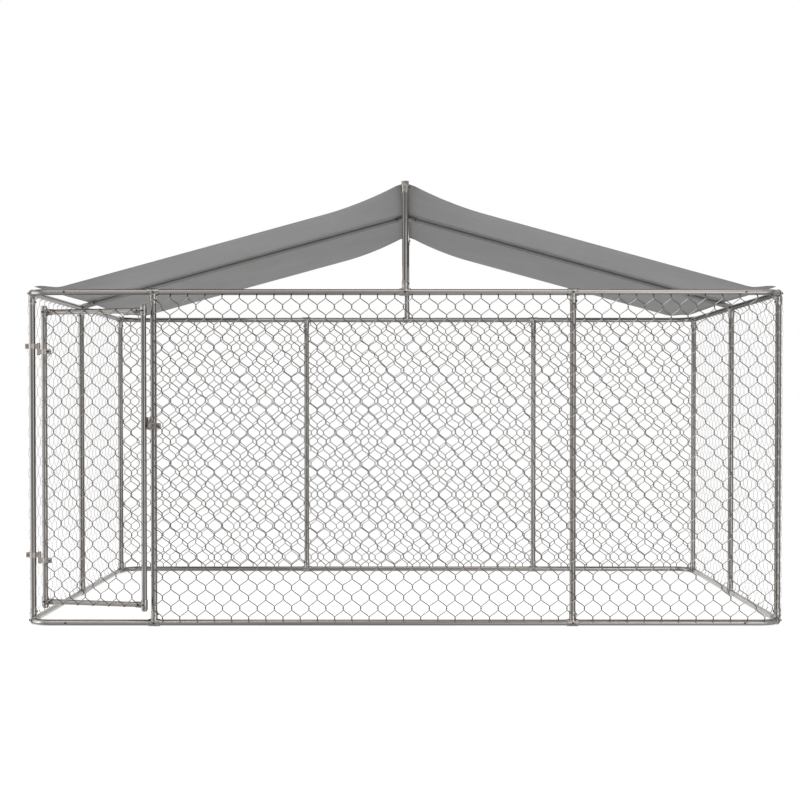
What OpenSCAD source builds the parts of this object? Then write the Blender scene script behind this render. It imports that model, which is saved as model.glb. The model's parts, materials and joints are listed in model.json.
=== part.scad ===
// Outdoor dog kennel run: a galvanised tube frame with chain-link walls, a side-hung door,
// and a cloth canopy over a ridge tube and two rafters.
// Millimetres. X runs from left to right, Y from front to back and Z up.
// The origin is the middle of the footprint, on the ground.

/* [Run] */
// Length over the rails, left to right
run_length = 4000; // [3400:10:4800]
// Depth over the rails, front to back
run_depth = 2300; // [2000:10:3000]
// Height of the top rails' centre line
eaves_z = 1755; // [1600:5:2000]
// Height of the ridge tube's centre line
ridge_z = 2304; // [2150:4:2600]

/* [Tubes] */
// Outside diameter of the rails, posts, poles and ridge
tube_d = 32; // [28:0.5:36]
// Outside diameter of the rafters
rafter_d = 25; // [20:0.5:30]
// Outside diameter of the door's stiles and bars
door_tube_d = 28; // [24:0.5:32]
// Wall of every tube
tube_wall = 1.5; // [1:0.1:2.5]
// Centre-line radius of the corner bends
bend_r = 115; // [95:1:150]
// Straight leg of a corner bend, from the bend to the joint
bend_leg = 60; // [45:1:120]
// Length of the swaged spigot inside a rail
spigot_l = 50; // [40:1:80]
// Radial clearance of a spigot in its rail
spigot_clear = 0.2; // [0.1:0.05:0.4]

/* [Posts] */
// Angle of a corner post round its bend, from the side rail
corner_post_angle = 16; // [8:1:28]
// Door post, from the left rail's centre line
door_post_in = 664; // [600:1:900]
// Front middle post, from the right rail's centre line
front_post_in = 1104; // [700:1:1500]
// Left-hand rear post, from the left rail's centre line
rear_left_in = 1284; // [700:1:1600]
// Right-hand rear post, from the right rail's centre line
rear_right_in = 1104; // [700:1:1500]
// Side posts and rafters, behind the middle of the run
side_post_y = 0; // [-150:5:150]

/* [Fittings] */
// Wall of a tee's saddle round the rail
saddle_wall = 3.2; // [2.5:0.1:5]
// Wall of a tee's sleeve round the post
sleeve_wall = 2; // [1.5:0.1:2.4]
// Radial clearance of a fitting on its tube
fit_clear = 0.3; // [0.1:0.05:0.5]
// Length of a tee's saddle along the rail
saddle_l = 60; // [50:1:80]
// Reach of a tee's sleeve from the rail's centre line
sleeve_reach = 60; // [50:1:80]
// Reach of a door tee's sleeve from the stile's centre line
door_sleeve_reach = 45; // [40:1:60]

/* [Roof] */
// Length of the ridge cross fitting's and rafter foot's sockets
rafter_socket_l = 55; // [40:1:80]
// Rise of a rafter's line over the top rail's centre line, above the side rail
rafter_foot_rise = 6; // [2:0.5:10]
// Thickness of the canopy cloth
cloth_t = 3; // [2:0.5:5]
// Gap between the cloth and the fittings under it
cloth_gap = 0.5; // [0.3:0.1:1]
// Hem of the cloth, inside the side rails' centre lines
hem_in = 34; // [10:1:60]
// Front and rear edge of the cloth, inside the front and rear rails' centre lines
cloth_end_in = 24; // [22:1:60]
// Sag of the cloth's front and rear edges
cloth_sag = 48; // [10:1:80]
// Distance from the ridge at which the cloth has its full sag
sag_full = 425; // [200:5:600]
// Width of the strip at the hem over which the sag runs out
hem_strip = 150; // [100:10:400]
// Share of the sag that is left at the hem's corners
hem_sag = 0.17; // [0:0.01:0.4]

/* [Walls] */
// Width of a net gap
net_pitch_w = 320; // [250:5:500]
// Height of a net gap
net_pitch_h = 425; // [300:5:600]
// Width of a net strand
strand_w = 6; // [4:0.5:10]
// Thickness of a net strand
strand_t = 3; // [2:0.5:4]
// Gap between a net and the fittings that it lies on
net_clear = 0.3; // [0.2:0.1:0.6]

/* [Door] */
// Gap between the door's ends and the corner tees above and below it
door_end_gap = 6; // [4:0.5:30]
// Bars of the door, from the ends of its stiles
door_bar_in = 34; // [30:1:80]
// Gap between the latch stile and the door post, seen from the front
latch_side_gap = 13; // [8:0.5:20]
// Length of a stile left bare past a door tee
stile_bare = 8; // [4:0.5:15]
// Distance of the latch stile in front of the door post
latch_stand = 43; // [40:0.5:55]
// Edges of the door's net, inside the bars' centre lines
door_net_in = 8; // [7:0.5:12]

/* [Hinges] */
// Hinge pin, from the corner post's centre line
pin_from_post = 34; // [32:0.5:40]
// Hinge stile, from the hinge pin
stile_from_pin = 33; // [31:0.5:40]
// Diameter of the hinge pins
pin_d = 10; // [8:0.5:12]
// Radial clearance of the pins and the latch stud
pin_clear = 0.05; // [0.02:0.01:0.1]
// Height of a hinge clamp
clamp_h = 27; // [20:1:40]
// Wall of a clamp round its tube
clamp_wall = 3; // [2:0.1:4]
// Radial clearance of a clamp on its tube
clamp_clear = 0.15; // [0.05:0.05:0.3]
// Thickness of a clamp's pair of bolt ears
ear_t = 14; // [10:0.5:16]
// Length of a clamp's bolt ears
ear_l = 20; // [16:0.5:24]
// Slit between a clamp's bolt ears
ear_slit = 3; // [2:0.5:5]
// Wall round the pin in a clamp's eye
eye_wall = 4; // [3:0.5:5]
// Gap between a post clamp and the stile clamp under it
hinge_gap = 2; // [1:0.5:4]
// Height of the upper post clamp's middle
upper_hinge_z = 1475; // [1200:5:1550]
// Height of the lower post clamp's middle
lower_hinge_z = 367; // [250:1:500]

/* [Latch] */
// Height of the latch clamp's middle
latch_z = 1054; // [900:1:1200]
// Height of the latch clamp
latch_clamp_h = 31; // [26:1:40]
// Diameter of the latch stud
stud_d = 8; // [6:0.5:9]
// Width of the drop bar
bar_w = 18; // [14:0.5:22]
// Thickness of the drop bar
bar_t = 5; // [3:0.5:8]
// Thickness of the latch clamp's front plate
latch_plate_t = 4; // [3:0.5:6]
// Stud of the drop bar, left of the door post's centre line
stud_left = 8; // [4:0.5:12]
// Stud of the drop bar, above the latch clamp's middle
stud_up = 2; // [-4:0.5:4]
// Wall of the stud's collar and head round the stud
stud_head_wall = 3; // [2:0.5:4]
// Height of the stud's head
stud_head_h = 4; // [2:0.5:6]
// Diameter of the pin that stops the drop bar
stop_pin_d = 5; // [4:0.5:6]
// Length of the drop bar from its stud to its tip
bar_l = 50; // [42:1:60]
// Straight length of the drop bar's tail, past its stud
bar_tail = 14; // [12:0.5:20]
// Gap between the stop pin and the raised or the lowered drop bar
stop_pin_gap = 0.4; // [0.3:0.1:1]
// Lean of the raised drop bar, away from the door
bar_lean = 10; // [6:1:14]
// Gap between the latch stile and the drop bar in front of it
bar_gap = 3; // [1:0.5:6]
// Gap between the latch stile and the stop behind it
stop_gap = 1; // [0.5:0.1:3]

/* [Screws] */
// Diameter of a screw's shank
screw_d = 6; // [4:0.5:7]
// Width of a screw's hexagon head across its flats
head_af = 10; // [8:0.5:13]
// Height of a screw's head
head_h = 4; // [2:0.5:6]
// Radial clearance of a screw in its hole
screw_clear = 0.2; // [0.1:0.05:0.4]
// Distance of a sleeve's screw from the sleeve's end
screw_in = 15; // [10:0.5:20]

/* [Hidden] */
$fn = 48;

zinc = "#8f8b86";
dark_zinc = "#6f6c68";
cloth_grey = "#8a8a8a";

// A little more than nothing, for cuts that run past a face
over = 1;
// Gap between two faces that meet
touch = 0.2;

tube_r = tube_d / 2;
door_r = door_tube_d / 2;
rafter_r = rafter_d / 2;
saddle_r = tube_r + fit_clear + saddle_wall;
sleeve_r = tube_r + fit_clear + sleeve_wall;
door_saddle_r = door_r + fit_clear + saddle_wall;
half_l = run_length / 2 - tube_r;
half_d = run_depth / 2 - tube_r;
rail_z = saddle_r;

// Straight rails end where the bends' legs begin
rail_half_x = half_l - bend_r - bend_leg;
rail_half_y = half_d - bend_r - bend_leg;
joint_screw_in = spigot_l / 2;

// Posts
corner_x = half_l - bend_r + bend_r * cos(corner_post_angle);
corner_y = half_d - bend_r + bend_r * sin(corner_post_angle);
door_post_x = -half_l + door_post_in;
front_post_x = half_l - front_post_in;
rear_left_x = -half_l + rear_left_in;
rear_right_x = half_l - rear_right_in;
post_bottom = rail_z + tube_r + fit_clear;
post_top = eaves_z - tube_r - fit_clear;
sleeve_screw_in = sleeve_reach - screw_in;

// Straight posts as [x, y, turn], where turn points the tee's saddle along the rail
straight_posts = [
    [door_post_x, -half_d, 0],
    [front_post_x, -half_d, 0],
    [rear_left_x, half_d, 180],
    [rear_right_x, half_d, 180],
    [-half_l, side_post_y, 270],
    [half_l, side_post_y, 90]
];
// Corners as [x side, y side]
corners = [[-1, -1], [1, -1], [1, 1], [-1, 1]];

// Roof
pole_top = ridge_z + saddle_l / 2 + fit_clear;
ridge_half = half_d - tube_r - fit_clear;
rafter_drop = ridge_z - eaves_z - rafter_foot_rise;
rafter_angle = atan(rafter_drop / half_l);
rafter_start = (tube_r + over) / cos(rafter_angle);
rafter_end = (half_l - saddle_r - rafter_d) / cos(rafter_angle);
// Screws of a rafter's two sockets, down the rafter from the ridge
rafter_screws = [
    rafter_start + rafter_socket_l - screw_in,
    rafter_end - rafter_socket_l + screw_in
];
socket_r = rafter_r + fit_clear + saddle_wall;
cross_l = 2 * socket_r + 4 * head_af;
cross_screw_y = side_post_y - socket_r - head_af;
roof_fit_r = max(saddle_r, socket_r);
hem_x = half_l - hem_in;
cloth_y = half_d - cloth_end_in;
cloth_crest = ridge_z + (roof_fit_r + cloth_gap) / cos(rafter_angle);
// Distance from the ridge at which the cloth starts to sag
sag_starts = tube_d + head_af;
cloth_cols = 20;
cloth_rows = 8;

// Nets lie against the sleeves of the tees, between the saddles
net_off = sleeve_r + net_clear;
net_low = rail_z + saddle_r + net_clear;
net_high = eaves_z - saddle_r - net_clear;
corner_cut = (bend_r + net_off) * tan(22.5);
net_end_x = half_l - bend_r + corner_cut - touch;
net_end_y = half_d - bend_r + corner_cut - touch;
corner_net_w = 2 * (corner_cut - touch);

// Door: from the hinge pin at the left front corner post to the latch stile
pin_x = -corner_x + pin_from_post;
pin_y = -corner_y;
latch_stile_x = door_post_x - tube_r - latch_side_gap - door_r;
latch_stile_y = -half_d - latch_stand;
leaf_w = norm([latch_stile_x - pin_x, latch_stile_y - pin_y]);
leaf_angle = atan2(latch_stile_y - pin_y, latch_stile_x - pin_x);
door_low = rail_z + sleeve_reach + door_end_gap;
door_high = eaves_z - sleeve_reach - door_end_gap;
low_bar_z = door_low + door_bar_in;
high_bar_z = door_high - door_bar_in;
door_saddle_l = 2 * (door_bar_in - stile_bare);
door_screw_x = door_sleeve_reach - screw_in;
bar_start = stile_from_pin + door_r + fit_clear;
bar_end = leaf_w - door_r - fit_clear;

// Clamps
eye_r = pin_d / 2 + eye_wall;
bolt_hole_r = screw_d / 2 + screw_clear;
stile_clamp_drop = clamp_h + hinge_gap;

// Latch
latch_plate_y = -half_d - tube_r - clamp_wall;
stop_y = latch_stile_y + door_r + stop_gap;
stud_x = door_post_x - stud_left;
stud_z = latch_z + stud_up;
bar_y = latch_stile_y - door_r - bar_gap;
// The stop pin stands beside the raised bar and over the tail of the lowered one
stop_pin_off = bar_w / 2 + stop_pin_d / 2 + stop_pin_gap;
stop_pin_x = stud_x + stop_pin_off * (1 + sin(bar_lean)) / cos(bar_lean);
stop_pin_z = stud_z + stop_pin_off;
latch_plate_h = stop_pin_z + stop_pin_d - latch_z + latch_clamp_h / 2;
stud_head_d = stud_d + 2 * stud_head_wall;

module tube(d, length) {
    difference() {
        cylinder(d = d, h = length);
        translate([0, 0, -over])
            cylinder(d = d - 2 * tube_wall, h = length + 2 * over);
    }
}

module along_x() {
    rotate([0, 90, 0])
        children();
}

module along_y() {
    rotate([-90, 0, 0])
        children();
}

// Puts the children at each rail height
module at_level(top) {
    translate([0, 0, top ? eaves_z : rail_z])
        mirror([0, 0, top ? 1 : 0])
            children();
}

// Cuts for screws: a hole along +Y from the inside out, through a wall at radius r
module screw_hole(r) {
    along_y()
        translate([0, 0, r / 2])
            cylinder(r = bolt_hole_r, h = r);
}

// A hexagon screw along +Y whose head stands on a round of radius r
module screw(r, length) {
    along_y() {
        translate([0, 0, r])
            cylinder(d = head_af / cos(30), h = head_h, $fn = 6);
        translate([0, 0, r - length])
            cylinder(d = screw_d, h = length + head_h / 2, $fn = 6);
    }
}

// A tee: its saddle lies along X, its sleeve stands on +Z. The screw holes face -Y and +X.
module tee(d, length, reach) {
    bore_d = d + 2 * fit_clear;
    difference() {
        union() {
            along_x()
                cylinder(d = bore_d + 2 * saddle_wall, h = length, center = true);
            cylinder(d = bore_d + 2 * sleeve_wall, h = reach);
        }
        along_x()
            cylinder(d = bore_d, h = length + 2 * over, center = true);
        translate([0, 0, d / 2])
            cylinder(d = bore_d, h = reach);
        rotate([0, 0, 180])
            screw_hole(d / 2 + fit_clear + saddle_wall);
        translate([0, 0, reach - screw_in])
            rotate([0, 0, -90])
                screw_hole(d / 2 + fit_clear + sleeve_wall);
    }
}

// The two screws of a tee
module tee_screws(d, reach) {
    rotate([0, 0, 180])
        screw(d / 2 + fit_clear + saddle_wall, fit_clear + saddle_wall + tube_wall + over);
    translate([0, 0, reach - screw_in])
        rotate([0, 0, -90])
            screw(d / 2 + fit_clear + sleeve_wall, fit_clear + sleeve_wall + tube_wall + over);
}

// Rails

// A straight rail along X with joint holes at its ends and saddle holes at the given places
module rail(half, places) {
    difference() {
        translate([-half, 0, 0])
            along_x()
                tube(tube_d, 2 * half);
        for (side = [-1, 1])
            translate([side * (half - joint_screw_in), 0, 0])
                rotate([0, 0, 180])
                    screw_hole(tube_r);
        for (x = places)
            translate([x, 0, 0])
                rotate([0, 0, 180])
                    screw_hole(tube_r);
    }
}

module front_rail(places) {
    color(zinc)
        translate([0, -half_d, 0])
            rail(rail_half_x, places);
}

module rear_rail(places) {
    color(zinc)
        translate([0, half_d, 0])
            rotate([0, 0, 180])
                rail(rail_half_x, [for (x = places) -x]);
}

module side_rail(side) {
    color(zinc)
        translate([side * half_l, 0, 0])
            rotate([0, 0, side * 90])
                rail(rail_half_y, [side * side_post_y]);
}

module front_bottom_rail() {
    at_level(false)
        front_rail([door_post_x, front_post_x]);
}

module rear_bottom_rail() {
    at_level(false)
        rear_rail([rear_left_x, rear_right_x]);
}

module left_bottom_rail() {
    at_level(false)
        side_rail(-1);
}

module right_bottom_rail() {
    at_level(false)
        side_rail(1);
}

module front_top_rail() {
    at_level(true)
        front_rail([door_post_x, 0, front_post_x]);
}

module rear_top_rail() {
    at_level(true)
        rear_rail([rear_left_x, 0, rear_right_x]);
}

module left_top_rail() {
    at_level(true)
        side_rail(-1);
}

module right_top_rail() {
    at_level(true)
        side_rail(1);
}

// Corner bends

// One leg of a bend along +Z, with its swaged spigot
module bend_leg_tube() {
    spigot_d = tube_d - 2 * tube_wall - 2 * spigot_clear;
    difference() {
        union() {
            cylinder(d = tube_d, h = bend_leg);
            cylinder(d = spigot_d, h = bend_leg + spigot_l);
        }
        translate([0, 0, -over])
            cylinder(d = tube_d - 2 * tube_wall, h = bend_leg - tube_wall + over);
        cylinder(d = spigot_d - 2 * tube_wall, h = bend_leg + spigot_l + over);
    }
}

// A bend round the right rear corner: its middle is at the origin, its legs run to -X and -Y
module corner_bend() {
    difference() {
        union() {
            rotate_extrude(angle = 90)
                translate([bend_r, 0])
                    difference() {
                        circle(d = tube_d);
                        circle(d = tube_d - 2 * tube_wall);
                    }
            translate([bend_r, 0, 0])
                rotate([90, 0, 0])
                    bend_leg_tube();
            translate([0, bend_r, 0])
                rotate([0, -90, 0])
                    bend_leg_tube();
        }
        translate([bend_r, -bend_leg - joint_screw_in, 0])
            rotate([0, 0, -90])
                screw_hole(tube_r);
        translate([-bend_leg - joint_screw_in, bend_r, 0])
            screw_hole(tube_r);
        rotate([0, 0, corner_post_angle])
            translate([bend_r, 0, 0])
                rotate([0, 0, -90])
                    screw_hole(tube_r);
    }
}

// Puts the children, drawn for the right rear bend, at each corner
module at_bends() {
    for (c = corners)
        mirror([c[0] < 0 ? 1 : 0, 0, 0])
            mirror([0, c[1] < 0 ? 1 : 0, 0])
                translate([half_l - bend_r, half_d - bend_r, 0])
                    children();
}

module bottom_corner_bends() {
    color(zinc)
        at_level(false)
            at_bends()
                corner_bend();
}

module top_corner_bends() {
    color(zinc)
        at_level(true)
            at_bends()
                corner_bend();
}

// Posts

// A post with a sleeve screw hole near each end, facing +X
module post() {
    color(zinc)
        difference() {
            translate([0, 0, post_bottom])
                tube(tube_d, post_top - post_bottom);
            for (z = [rail_z + sleeve_screw_in, eaves_z - sleeve_screw_in])
                translate([0, 0, z])
                    rotate([0, 0, -90])
                        screw_hole(tube_r);
        }
}

module straight_post(i) {
    translate([straight_posts[i][0], straight_posts[i][1], 0])
        rotate([0, 0, straight_posts[i][2]])
            post();
}

// A corner post turned so that its sleeve screws face the middle of its bend
module corner_post(i) {
    mirror([corners[i][0] < 0 ? 1 : 0, 0, 0])
        mirror([0, corners[i][1] < 0 ? 1 : 0, 0])
            translate([corner_x, corner_y, 0])
                rotate([0, 0, corner_post_angle + 180])
                    post();
}

module door_post() {
    straight_post(0);
}

module front_middle_post() {
    straight_post(1);
}

module rear_middle_post_left() {
    straight_post(2);
}

module rear_middle_post_right() {
    straight_post(3);
}

module left_middle_post() {
    straight_post(4);
}

module right_middle_post() {
    straight_post(5);
}

module front_left_post() {
    corner_post(0);
}

module front_right_post() {
    corner_post(1);
}

module rear_right_post() {
    corner_post(2);
}

module rear_left_post() {
    corner_post(3);
}

// Tees of the posts

module at_straight_posts() {
    for (p = straight_posts)
        translate([p[0], p[1], 0])
            rotate([0, 0, p[2]])
                children();
}

module bottom_tees() {
    color(dark_zinc)
        at_level(false)
            at_straight_posts()
                tee(tube_d, saddle_l, sleeve_reach);
}

module top_tees() {
    color(dark_zinc)
        at_level(true)
            at_straight_posts()
                tee(tube_d, saddle_l, sleeve_reach);
}

// A tee whose saddle follows the bend, drawn for the right rear corner
module corner_tee() {
    bore_r = tube_r + fit_clear;
    half_turn = saddle_l / 2 / bend_r * 180 / PI;
    rotate([0, 0, corner_post_angle])
        difference() {
            union() {
                rotate([0, 0, -half_turn])
                    rotate_extrude(angle = 2 * half_turn)
                        translate([bend_r, 0])
                            circle(r = saddle_r);
                translate([bend_r, 0, 0])
                    cylinder(r = sleeve_r, h = sleeve_reach);
            }
            rotate([0, 0, -2 * half_turn])
                rotate_extrude(angle = 4 * half_turn)
                    translate([bend_r, 0])
                        circle(r = bore_r);
            translate([bend_r, 0, tube_r])
                cylinder(r = bore_r, h = sleeve_reach);
            translate([bend_r, 0, 0])
                rotate([0, 0, -90])
                    screw_hole(saddle_r);
            translate([bend_r, 0, sleeve_screw_in])
                rotate([0, 0, 90])
                    screw_hole(sleeve_r);
        }
}

module corner_tee_screws() {
    rotate([0, 0, corner_post_angle])
        translate([bend_r, 0, 0]) {
            rotate([0, 0, -90])
                screw(saddle_r, saddle_wall + fit_clear + tube_wall + over);
            translate([0, 0, sleeve_screw_in])
                rotate([0, 0, 90])
                    screw(sleeve_r, sleeve_wall + fit_clear + tube_wall + over);
        }
}

module bottom_corner_tees() {
    color(dark_zinc)
        at_level(false)
            at_bends()
                corner_tee();
}

module top_corner_tees() {
    color(dark_zinc)
        at_level(true)
            at_bends()
                corner_tee();
}

// Roof frame

// A pole over the middle of the front rail, with screw holes for its base tee and ridge tee
module pole() {
    low = eaves_z + tube_r + fit_clear;
    color(zinc)
        difference() {
            translate([0, 0, low])
                tube(tube_d, pole_top - low);
            translate([0, 0, eaves_z + sleeve_screw_in])
                rotate([0, 0, -90])
                    screw_hole(tube_r);
            translate([0, 0, ridge_z])
                rotate([0, 0, -90])
                    screw_hole(tube_r);
        }
}

module front_pole() {
    translate([0, -half_d, 0])
        pole();
}

module rear_pole() {
    translate([0, half_d, 0])
        mirror([0, 1, 0])
            pole();
}

// Puts the children, drawn for the front pole, at both poles
module at_poles() {
    for (back = [0, 1])
        mirror([0, back, 0])
            translate([0, -half_d, 0])
                children();
}

module pole_base_tees() {
    color(dark_zinc)
        at_poles()
            translate([0, 0, eaves_z])
                tee(tube_d, saddle_l, sleeve_reach);
}

// Turns a tee so that its saddle stands on the pole and its sleeve points inwards
module ridge_tee_turn() {
    translate([0, 0, ridge_z])
        rotate([-90, 0, 0])
            rotate([0, 0, 90])
                children();
}

module ridge_tees() {
    color(dark_zinc)
        at_poles()
            ridge_tee_turn()
                tee(tube_d, saddle_l, sleeve_reach);
}

module ridge_tube() {
    screw_y = half_d - sleeve_screw_in;
    color(zinc)
        difference() {
            translate([0, -ridge_half, ridge_z])
                along_y()
                    tube(tube_d, 2 * ridge_half);
            for (side = [-1, 1])
                translate([0, side * screw_y, ridge_z])
                    rotate([-90, 0, 0])
                        screw_hole(tube_r);
            translate([0, cross_screw_y, ridge_z])
                rotate([0, 0, -90])
                    screw_hole(tube_r);
        }
}

// Turns +X down along the right-hand rafter, from the ridge
module down_rafter() {
    translate([0, side_post_y, ridge_z])
        rotate([0, rafter_angle, 0])
            children();
}

module both_sides() {
    for (left = [0, 1])
        mirror([left, 0, 0])
            children();
}

module ridge_cross_fitting() {
    socket_end = rafter_start + rafter_socket_l;
    color(dark_zinc)
        difference() {
            union() {
                translate([0, side_post_y, ridge_z])
                    along_y()
                        cylinder(r = saddle_r, h = cross_l, center = true);
                both_sides()
                    down_rafter()
                        along_x()
                            cylinder(r = socket_r, h = socket_end);
            }
            translate([0, side_post_y, ridge_z])
                along_y()
                    cylinder(r = tube_r + fit_clear, h = cross_l + 2 * over, center = true);
            both_sides()
                down_rafter()
                    translate([rafter_start - over, 0, 0])
                        along_x()
                            cylinder(r = rafter_r + fit_clear, h = socket_end);
            both_sides()
                down_rafter()
                    translate([socket_end - screw_in, 0, 0])
                        rotate([0, 0, 180])
                            screw_hole(socket_r);
            translate([0, cross_screw_y, ridge_z])
                rotate([0, 0, -90])
                    screw_hole(saddle_r);
        }
}

module rafter() {
    color(zinc)
        down_rafter()
            difference() {
                translate([rafter_start, 0, 0])
                    along_x()
                        tube(rafter_d, rafter_end - rafter_start);
                for (x = rafter_screws)
                    translate([x, 0, 0])
                        rotate([0, 0, 180])
                            screw_hole(rafter_r);
            }
}

module right_rafter() {
    rafter();
}

module left_rafter() {
    mirror([1, 0, 0])
        rafter();
}

// A socket for the rafter's lower end, with a solid nose coped to the side rail's tee
module rafter_foot() {
    foot_start = rafter_end - rafter_socket_l;
    nose_end = (half_l - saddle_r / 2) / cos(rafter_angle);
    difference() {
        down_rafter()
            difference() {
                translate([foot_start, 0, 0])
                    along_x()
                        cylinder(r = socket_r, h = nose_end - foot_start);
                translate([foot_start - over, 0, 0])
                    along_x()
                        cylinder(r = rafter_r + fit_clear, h = rafter_end - foot_start + over + touch);
                translate([foot_start + screw_in, 0, 0])
                    rotate([0, 0, 180])
                        screw_hole(socket_r);
            }
        translate([half_l, side_post_y, eaves_z])
            along_y()
                cylinder(r = saddle_r + touch, h = 4 * saddle_l, center = true);
    }
}

module rafter_feet() {
    color(dark_zinc)
        both_sides()
            rafter_foot();
}

// Canopy

function within(t) = min(max(t, 0), 1);
function ease(t) = within(t) * within(t) * (3 - 2 * within(t));
// Share of the sag at distance u from the ridge: it falls steeply from the ridge, then levels out
function sag_fall(u) = 1 - pow(1 - within((u - sag_starts) / (sag_full - sag_starts)), 2);
function sag_along(u) = sag_fall(u) * (hem_sag + (1 - hem_sag) * ease((hem_x - u) / hem_strip));
// Share of the sag at distance v from the rafter
function sag_across(v) =
    let (span = v < side_post_y ? cloth_y + side_post_y : cloth_y - side_post_y)
    let (t = abs(v - side_post_y) / span)
    1 - (1 - t) * (1 - t);
// Height of the cloth's underside
function cloth_under(u, v) =
    cloth_crest - u * tan(rafter_angle) - cloth_sag * sag_along(u) * sag_across(v);

function cloth_u(i) = touch + (hem_x - touch) * i / cloth_cols;
function cloth_v(j) =
    let (half_rows = cloth_rows / 2)
    j < half_rows
        ? -cloth_y + (side_post_y + cloth_y) * j / half_rows
        : side_post_y + (cloth_y - side_post_y) * (j - half_rows) / half_rows;
// Index of a point of the cloth's grid, on its underside or its top
function cloth_at(i, j, top) = (top * (cloth_cols + 1) + i) * (cloth_rows + 1) + j;

module cloth_half() {
    points = [
        for (top = [0, 1])
            for (i = [0:cloth_cols])
                for (j = [0:cloth_rows])
                    [cloth_u(i), cloth_v(j), cloth_under(cloth_u(i), cloth_v(j)) + top * cloth_t]
    ];
    under = [
        for (i = [0:cloth_cols - 1])
            for (j = [0:cloth_rows - 1])
                for (face = [[[0, 0], [1, 0], [1, 1]], [[0, 0], [1, 1], [0, 1]]])
                    [for (k = face) cloth_at(i + k[0], j + k[1], 0)]
    ];
    above = [
        for (i = [0:cloth_cols - 1])
            for (j = [0:cloth_rows - 1])
                for (face = [[[0, 0], [1, 1], [1, 0]], [[0, 0], [0, 1], [1, 1]]])
                    [for (k = face) cloth_at(i + k[0], j + k[1], 1)]
    ];
    // The rim of the grid as a loop of [i, j]
    rim = concat(
        [for (i = [0:cloth_cols - 1]) [i, 0]],
        [for (j = [0:cloth_rows - 1]) [cloth_cols, j]],
        [for (i = [cloth_cols:-1:1]) [i, cloth_rows]],
        [for (j = [cloth_rows:-1:1]) [0, j]]
    );
    edge = [
        for (k = [0:len(rim) - 1])
            let (a = rim[k])
            let (b = rim[(k + 1) % len(rim)])
            for (face = [[[a, 0], [b, 1], [b, 0]], [[a, 0], [a, 1], [b, 1]]])
                [for (p = face) cloth_at(p[0][0], p[0][1], p[1])]
    ];
    polyhedron(points, concat(under, above, edge));
}

module canopy_right() {
    color(cloth_grey)
        cloth_half();
}

module canopy_left() {
    color(cloth_grey)
        mirror([1, 0, 0])
            cloth_half();
}

// Nets

// Corners of a net gap: a diamond, or the half of one that a border leaves
function gap_corners(x, y, a, b, w, h) =
    let (half_a = a * (b - strand_w) / b)
    let (half_b = b * (a - strand_w) / a)
    let (right = w - strand_w)
    let (high = h - strand_w)
    y <= 0 ? [[x - half_a, strand_w], [x + half_a, strand_w], [x, b]]
    : y >= h ? [[x - half_a, high], [x + half_a, high], [x, h - b]]
    : x <= 0 ? [[strand_w, y - half_b], [strand_w, y + half_b], [a, y]]
    : x >= w ? [[right, y - half_b], [right, y + half_b], [w - a, y]]
    : [[x - a, y], [x, y - b], [x + a, y], [x, y + b]];

// A flat net of crossing strands, w wide along X and h high along Z, with its back on Y = 0
module net(w, h) {
    cols = max(1, round(w / net_pitch_w));
    rows = max(1, round(h / net_pitch_h));
    px = w / cols;
    py = h / rows;
    slant = norm([px, py]);
    a = px / 2 - strand_w / 2 * slant / py;
    b = py / 2 - strand_w / 2 * slant / px;
    gaps = concat(
        [
            for (i = [0:cols - 1])
                for (j = [0:rows])
                    gap_corners((i + 0.5) * px, j * py, a, b, w, j == rows ? j * py : h)
        ],
        [
            for (i = [0:cols])
                for (j = [0:rows - 1])
                    gap_corners(i * px, (j + 0.5) * py, a, b, i == cols ? i * px : w, h)
        ]
    );
    rotate([90, 0, 0])
        linear_extrude(strand_t)
            difference() {
                square([w, h]);
                for (g = gaps)
                    polygon(g);
            }
}

module wall_net(from, to) {
    color(dark_zinc)
        translate([from, -net_off, net_low])
            net(to - from, net_high - net_low);
}

module front_net() {
    translate([0, -half_d, 0])
        wall_net(door_post_x + saddle_r, net_end_x);
}

module rear_net() {
    translate([0, half_d, 0])
        rotate([0, 0, 180])
            wall_net(-net_end_x, net_end_x);
}

module right_net() {
    translate([half_l, 0, 0])
        rotate([0, 0, 90])
            wall_net(-net_end_y, net_end_y);
}

module left_net() {
    translate([-half_l, 0, 0])
        rotate([0, 0, -90])
            wall_net(-net_end_y, corner_y - ear_t);
}

module corner_nets() {
    for (c = [corners[1], corners[2], corners[3]])
        mirror([c[0] < 0 ? 1 : 0, 0, 0])
            mirror([0, c[1] > 0 ? 1 : 0, 0])
                translate([half_l - bend_r, bend_r - half_d, 0])
                    rotate([0, 0, 45])
                        translate([0, -bend_r, 0])
                            wall_net(-corner_net_w / 2, corner_net_w / 2);
}

// Door, drawn with its hinge pin at the origin and its leaf along +X

module at_door() {
    translate([pin_x, pin_y, 0])
        rotate([0, 0, leaf_angle])
            children();
}

// A stile with screw holes for its tees, facing the front
module stile(x) {
    color(zinc)
        at_door()
            translate([x, 0, 0])
                difference() {
                    translate([0, 0, door_low])
                        tube(door_tube_d, door_high - door_low);
                    for (z = [low_bar_z, high_bar_z])
                        translate([0, 0, z])
                            rotate([0, 0, 180])
                                screw_hole(door_r);
                }
}

module hinge_stile() {
    stile(stile_from_pin);
}

module latch_stile() {
    stile(leaf_w);
}

module door_bar(z) {
    color(zinc)
        at_door()
            translate([0, 0, z])
                difference() {
                    translate([bar_start, 0, 0])
                        along_x()
                            tube(door_tube_d, bar_end - bar_start);
                    for (x = [stile_from_pin + door_screw_x, leaf_w - door_screw_x])
                        translate([x, 0, 0])
                            rotate([0, 0, 180])
                                screw_hole(door_r);
                }
}

module door_top_bar() {
    door_bar(high_bar_z);
}

module door_bottom_bar() {
    door_bar(low_bar_z);
}

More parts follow.
